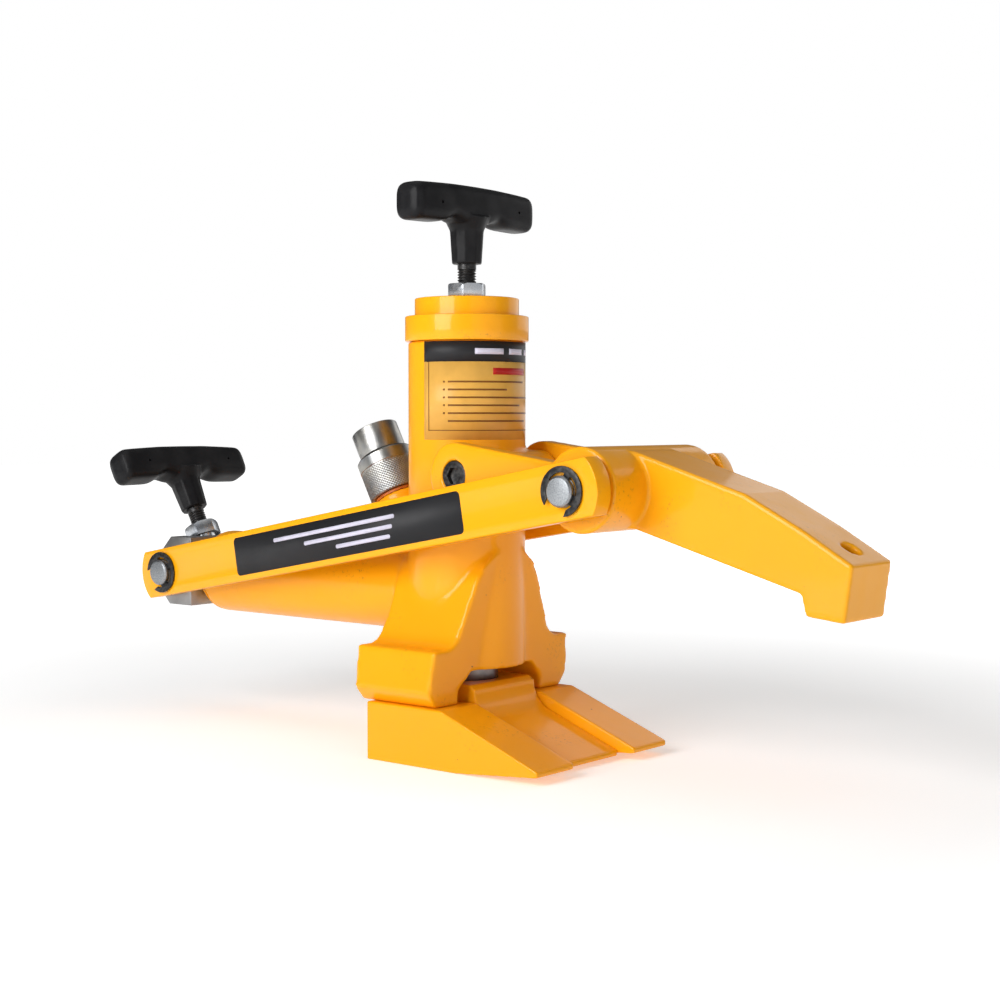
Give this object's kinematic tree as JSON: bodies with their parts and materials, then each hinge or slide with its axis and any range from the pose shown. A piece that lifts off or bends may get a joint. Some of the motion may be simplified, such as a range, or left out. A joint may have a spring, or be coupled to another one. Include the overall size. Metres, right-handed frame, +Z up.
{
  "type": "bead breaker",
  "caption": "Hydraulic bead breaker: an upright ram drives a foot between two fixed feet while a lying ram closes a hooked claw on the wheel rim.",
  "frame": {"origin": "on the upright ram's axis, in the plane of the feet's flat underside", "axes": "+Z up along the upright ram, +X towards the hook, Y across the side bars"},
  "size_m": [0.5839, 0.1526, 0.3604],
  "materials": {
    "body_paint": "high-gloss enamel over a cast surface",
    "bar_paint": "high-gloss enamel over rolled steel",
    "zinc": "bright zinc plate",
    "machined_steel": "turned and ground",
    "bare_block": "milled, lightly oiled",
    "black_oxide": "black oxide, oiled",
    "grip_plastic": "satin moulded nylon",
    "bronze": "sintered bronze",
    "seal_rubber": "smooth",
    "orange_seal": "smooth",
    "spring_steel": "oil-tempered wire"
  },
  "bodies": {
    "body": {"cast_body": "body_paint", "top_cap": "body_paint", "top_gland_nut": "zinc", "near_side_foot": "body_paint", "far_side_foot": "body_paint", "foot_screws": "black_oxide", "pivot_screws": "black_oxide", "coupler_body": "machined_steel", "coupler_seal": "orange_seal", "coupler_spring": "spring_steel", "ram_gland_bush": "bronze", "ram_wiper": "seal_rubber", "ram_return_spring": "spring_steel", "clamp_end_cap": "body_paint", "clamp_bush": "bronze", "clamp_return_spring": "spring_steel"},
    "top_ball": {"top_valve_ball": "machined_steel"},
    "top_handle": {"top_valve_spindle": "black_oxide", "top_t_grip": "grip_plastic"},
    "ram": {"ram_rod": "machined_steel", "ram_piston": "machined_steel", "ram_seal": "seal_rubber", "ram_foot": "body_paint", "ram_foot_pin": "machined_steel"},
    "crosshead": {"clamp_piston": "machined_steel", "clamp_seal": "seal_rubber", "clamp_rod": "machined_steel", "crosshead_block": "bare_block", "rear_gland_nut": "zinc", "crosshead_pin": "machined_steel", "crosshead_pin_clips": "black_oxide"},
    "rear_ball": {"rear_valve_ball": "machined_steel"},
    "rear_handle": {"rear_valve_spindle": "black_oxide", "rear_t_grip": "grip_plastic"},
    "claw": {"claw": "body_paint", "pivot_bushes": "bronze", "claw_bushes": "bronze", "claw_pin": "machined_steel", "claw_pin_clips": "black_oxide"},
    "side_bars": {"near_side_bar": "bar_paint", "far_side_bar": "bar_paint"},
    "coupler_poppet": {"coupler_poppet": "machined_steel"},
    "coupler_collar": {"coupler_collar": "zinc"},
    "dust_cap": {"dust_cap": "zinc"}
  },
  "joints": [
    {"name": "top_valve_travel", "type": "slide", "parent": "body", "child": "top_ball", "axis": [0, 0, 1], "range_m": [0, 0.0035]},
    {"name": "top_handle_turn", "type": "hinge", "parent": "top_ball", "child": "top_handle", "pos_m": [0, 0, 0.3], "axis": [0, 0, 1], "range_deg": [0, 722]},
    {"name": "ram_slide", "type": "slide", "parent": "body", "child": "ram", "axis": [0, 0, -1], "range_m": [0, 0.08], "stiffness_N_per_m": 1500, "springref_m": -0.08, "deforming": ["ram_return_spring"]},
    {"name": "claw_swing", "type": "hinge", "parent": "body", "child": "claw", "pos_m": [0.031, 0, 0.178], "axis": [0, 1, 0], "range_deg": [0, 18]},
    {"name": "side_bar_swing", "type": "hinge", "parent": "claw", "child": "side_bars", "pos_m": [0.1315, 0, 0.172], "axis": [0, 1, 0], "range_deg": [-14, 0.5]},
    {"name": "clamp_slide", "type": "slide", "parent": "body", "child": "crosshead", "axis": [-1, 0, 0], "range_m": [0, 0.0106], "stiffness_N_per_m": 6000, "springref_m": -0.08, "deforming": ["clamp_return_spring"]},
    {"name": "rear_valve_travel", "type": "slide", "parent": "crosshead", "child": "rear_ball", "axis": [-0.4695, 0, 0.8829], "range_m": [0, 0.0035]},
    {"name": "rear_handle_turn", "type": "hinge", "parent": "rear_ball", "child": "rear_handle", "pos_m": [-0.254, 0, 0.126], "axis": [-0.4695, 0, 0.8829], "range_deg": [0, 722]},
    {"name": "coupler_poppet_slide", "type": "slide", "parent": "body", "child": "coupler_poppet", "axis": [0.4695, 0, -0.8829], "range_m": [0, 0.003], "stiffness_N_per_m": 800, "springref_m": -0.004, "deforming": ["coupler_spring"]},
    {"name": "coupler_collar_turn", "type": "hinge", "parent": "body", "child": "coupler_collar", "pos_m": [-0.05948, 0, 0.16329], "axis": [-0.4695, 0, 0.8829], "continuous": true},
    {"name": "dust_cap_slide", "type": "slide", "parent": "body", "child": "dust_cap", "axis": [-0.4695, 0, 0.8829], "range_m": [0, 0.02]}
  ],
  "couplings": [
    {"joint": "top_handle_turn", "follows": "top_valve_travel", "rad_per_m": 3590.4},
    {"joint": "rear_handle_turn", "follows": "rear_valve_travel", "rad_per_m": 3590.4},
    {"joint": "side_bar_swing", "follows": "claw_swing", "ratio": -0.744},
    {"joint": "clamp_slide", "follows": "claw_swing", "m_per_rad": 0.03333}
  ]
}
